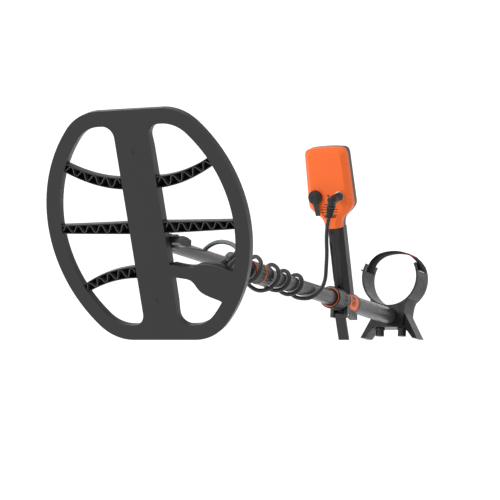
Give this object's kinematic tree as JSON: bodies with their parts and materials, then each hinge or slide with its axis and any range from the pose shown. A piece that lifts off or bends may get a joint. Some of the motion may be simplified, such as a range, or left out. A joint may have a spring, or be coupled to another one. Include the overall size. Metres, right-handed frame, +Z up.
{
  "type": "metal detector",
  "caption": "Hand-held metal detector with a ribbed oval search coil on a telescopic shaft, pistol grip with control box, folding stand, and an arm cuff with strap.",
  "frame": {"origin": "on the ground plane, at the middle of the detector's length and width as it stands on coil heel, stand and cuff feet", "axes": "+X forward from the cuff to the coil (longest extent), +Y to the user's left, +Z up"},
  "size_m": [1.0122, 0.3126, 0.3239],
  "materials": {
    "coil_grey": "moulded, fine satin grain",
    "shaft_black": "moulded glass-filled nylon",
    "tube_grey": "satin grey coated tube",
    "orange_plastic": "satin orange moulding",
    "black_rubber": "matt rubber",
    "lead_grey": "smooth cable jacket",
    "strap_webbing": "woven hook-and-loop webbing",
    "bright_metal": "plated",
    "copper_wire": "enamelled copper winding",
    "circuit_board": "solder mask",
    "display_glass": "clear window over a grey display"
  },
  "bodies": {
    "root": {"upper_tube": "tube_grey", "tube_plug": "shaft_black", "shaft_housing": "shaft_black", "housing_label": "orange_plastic", "stand_pin": "bright_metal", "grip_shell_left": "shaft_black", "grip_shell_right": "shaft_black", "grip_pad_left": "black_rubber", "grip_pad_right": "black_rubber", "grip_screw_1": "bright_metal", "grip_screw_2": "bright_metal", "box_shell": "orange_plastic", "box_front": "shaft_black", "display_window": "display_glass", "display_module": "display_glass", "main_board": "circuit_board", "battery": "black_rubber", "speaker": "black_rubber", "coil_socket": "bright_metal", "headphone_socket": "bright_metal", "plug_elbow": "shaft_black", "plug_relief": "black_rubber", "lead_riser": "lead_grey"},
    "grip_lock": {"grip_lock": "shaft_black", "grip_lock_ring": "orange_plastic"},
    "middle_stem": {"middle_tube": "tube_grey", "lock_seat": "shaft_black", "lock_rear_ring": "shaft_black", "lead_wraps": "lead_grey"},
    "twist_lock": {"twist_lock": "shaft_black", "lock_ring_front": "orange_plastic", "lock_ring_rear": "orange_plastic"},
    "lower_stem": {"yoke": "shaft_black", "lower_tube": "tube_grey", "rubber_washer_left": "black_rubber", "rubber_washer_right": "black_rubber", "lead_slack": "lead_grey"},
    "coil": {"coil_cover": "coil_grey", "coil_shell": "coil_grey", "transmit_winding": "copper_wire", "receive_winding": "copper_wire", "lead_relief": "black_rubber", "pivot_bolt": "bright_metal", "lead_loop": "lead_grey"},
    "wing_knob": {"wing_knob": "shaft_black"},
    "stand_leg": {"stand_leg": "shaft_black"},
    "armrest": {"armrest": "shaft_black", "arm_strap": "strap_webbing"},
    "clamp_screw_left": {"clamp_screw_left": "shaft_black"},
    "clamp_screw_right": {"clamp_screw_right": "shaft_black"},
    "plug_nut": {"plug_nut": "shaft_black"},
    "headphone_cap": {"headphone_cap": "black_rubber"},
    "button_power": {"button_power": "black_rubber"},
    "button_menu": {"button_menu": "black_rubber"},
    "button_back": {"button_back": "black_rubber"},
    "button_minus": {"button_minus": "black_rubber"},
    "button_plus": {"button_plus": "black_rubber"}
  },
  "joints": [
    {"name": "grip_lock_turn", "type": "hinge", "parent": "root", "child": "grip_lock", "pos_m": [-0.20146, 0, 0.06954], "axis": [0.994, 0, 0.109], "range_deg": [0, 90]},
    {"name": "middle_stem_slide", "type": "slide", "parent": "root", "child": "middle_stem", "axis": [0.994, 0, 0.109], "range_m": [-0.09, 0.1], "deforming": ["lead_riser"]},
    {"name": "twist_lock_turn", "type": "hinge", "parent": "middle_stem", "child": "twist_lock", "pos_m": [0.10569, 0, 0.10323], "axis": [0.994, 0, 0.109], "range_deg": [0, 90]},
    {"name": "lower_stem_slide", "type": "slide", "parent": "middle_stem", "child": "lower_stem", "axis": [0.994, 0, 0.109], "range_m": [-0.14, 0.11], "deforming": ["lead_slack"]},
    {"name": "coil_tilt", "type": "hinge", "parent": "lower_stem", "child": "coil", "pos_m": [0.40987, 0, 0.1366], "axis": [0, 1, 0], "range_deg": [-75, 60], "deforming": ["lead_loop"]},
    {"name": "wing_knob_turn", "type": "hinge", "parent": "coil", "child": "wing_knob", "pos_m": [0.40987, 0, 0.1366], "axis": [0, 1, 0], "continuous": true},
    {"name": "stand_fold", "type": "hinge", "parent": "root", "child": "stand_leg", "pos_m": [-0.22722, 0, 0.04207], "axis": [0, 1, 0], "range_deg": [-108, 0]},
    {"name": "armrest_slide", "type": "slide", "parent": "root", "child": "armrest", "axis": [0.994, 0, 0.109], "range_m": [0, 0.05]},
    {"name": "clamp_screw_left_turn", "type": "hinge", "parent": "armrest", "child": "clamp_screw_left", "pos_m": [-0.45664, 0.021, 0.01137], "axis": [-0.109, 0, 0.994], "continuous": true},
    {"name": "clamp_screw_right_turn", "type": "hinge", "parent": "armrest", "child": "clamp_screw_right", "pos_m": [-0.45664, -0.021, 0.01137], "axis": [-0.109, 0, 0.994], "continuous": true},
    {"name": "plug_nut_turn", "type": "hinge", "parent": "root", "child": "plug_nut", "pos_m": [-0.16788, 0.0212, 0.23582], "axis": [0.9636, 0, -0.2672], "range_deg": [0, 90]},
    {"name": "headphone_cap_pull", "type": "slide", "parent": "root", "child": "headphone_cap", "axis": [0.9636, 0, -0.2672], "range_m": [0, 0.009]},
    {"name": "button_power_press", "type": "slide", "parent": "root", "child": "button_power", "axis": [0.9636, 0, -0.2672], "range_m": [0, 0.0012], "stiffness_N_per_m": 500},
    {"name": "button_menu_press", "type": "slide", "parent": "root", "child": "button_menu", "axis": [0.9636, 0, -0.2672], "range_m": [0, 0.0012], "stiffness_N_per_m": 500},
    {"name": "button_back_press", "type": "slide", "parent": "root", "child": "button_back", "axis": [0.9636, 0, -0.2672], "range_m": [0, 0.0012], "stiffness_N_per_m": 500},
    {"name": "button_minus_press", "type": "slide", "parent": "root", "child": "button_minus", "axis": [0.9636, 0, -0.2672], "range_m": [0, 0.0012], "stiffness_N_per_m": 500},
    {"name": "button_plus_press", "type": "slide", "parent": "root", "child": "button_plus", "axis": [0.9636, 0, -0.2672], "range_m": [0, 0.0012], "stiffness_N_per_m": 500}
  ]
}
